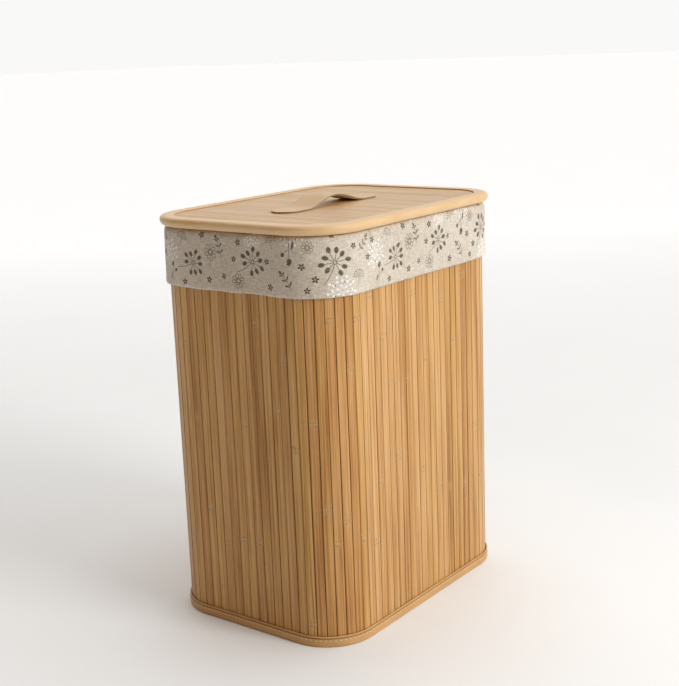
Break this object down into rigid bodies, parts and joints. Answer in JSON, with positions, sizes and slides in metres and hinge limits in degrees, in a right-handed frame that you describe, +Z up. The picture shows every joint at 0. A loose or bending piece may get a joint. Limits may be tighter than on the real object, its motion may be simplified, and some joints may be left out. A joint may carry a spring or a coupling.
{
  "type": "laundry hamper",
  "caption": "Tall rounded-rectangle laundry hamper of upright bamboo slats, with a cloth liner folded over the rim and a lift-off lid with a strap handle.",
  "frame": {"origin": "on the floor, under the middle of the tub", "axes": "+X along the long side, towards the right seen from the front; +Y from the front long face to the back one, which holds the wall's seam; +Z up"},
  "size_m": [0.438, 0.322, 0.5766],
  "materials": {
    "bamboo_slats": "satin varnish, straight grain",
    "lid_bamboo": "satin varnish, straight grain",
    "rim_binding": "smooth coated tape, low sheen",
    "edge_binding": "smooth coated tape, stitched",
    "backing_cloth": "plain open weave",
    "hook_and_loop": "fine nylon pile",
    "steel_wire": "drawn wire",
    "rattan_rod": "bare cane",
    "fibreboard": "smooth board",
    "felt": "pressed felt",
    "liner_cloth": "plain weave cotton",
    "printed_linen": "slubby linen weave with a small printed flower pattern",
    "strap_leather": "smooth, matt",
    "rivet_steel": "plated"
  },
  "bodies": {
    "hamper_body": {"front_wall_slats": "bamboo_slats", "back_wall_slats": "bamboo_slats", "left_wall_slats": "bamboo_slats", "right_wall_slats": "bamboo_slats", "back_right_corner_slats": "bamboo_slats", "back_left_corner_slats": "bamboo_slats", "front_left_corner_slats": "bamboo_slats", "front_right_corner_slats": "bamboo_slats", "wall_backing_cloth": "backing_cloth", "wall_seam_tape": "backing_cloth", "hook_strips": "hook_and_loop", "base_edge_binding": "edge_binding", "base_hoop_wire": "steel_wire", "base_board": "fibreboard", "base_board_cover": "felt", "top_edge_binding": "edge_binding", "top_hoop_wire": "steel_wire"},
    "liner": {"liner_bag_floor": "liner_cloth", "liner_bag_side": "liner_cloth", "liner_cuff": "printed_linen", "loop_strips": "hook_and_loop"},
    "lid": {"lid_rim_binding": "rim_binding", "lid_rim_rod": "rattan_rod", "lid_lining_cloth": "backing_cloth", "lid_core_board": "fibreboard", "lid_slats": "lid_bamboo", "strap_lower_layer": "strap_leather", "strap_upper_layer": "strap_leather", "strap_rivets": "rivet_steel", "strap_rivet_washers": "rivet_steel"}
  },
  "joints": [
    {"name": "liner_lift", "type": "slide", "parent": "hamper_body", "child": "liner", "axis": [0, 0, 1], "range_m": [0, 0.56]},
    {"name": "lid_lift", "type": "slide", "parent": "liner", "child": "lid", "axis": [0, 0, 1], "range_m": [0, 0.2]}
  ]
}
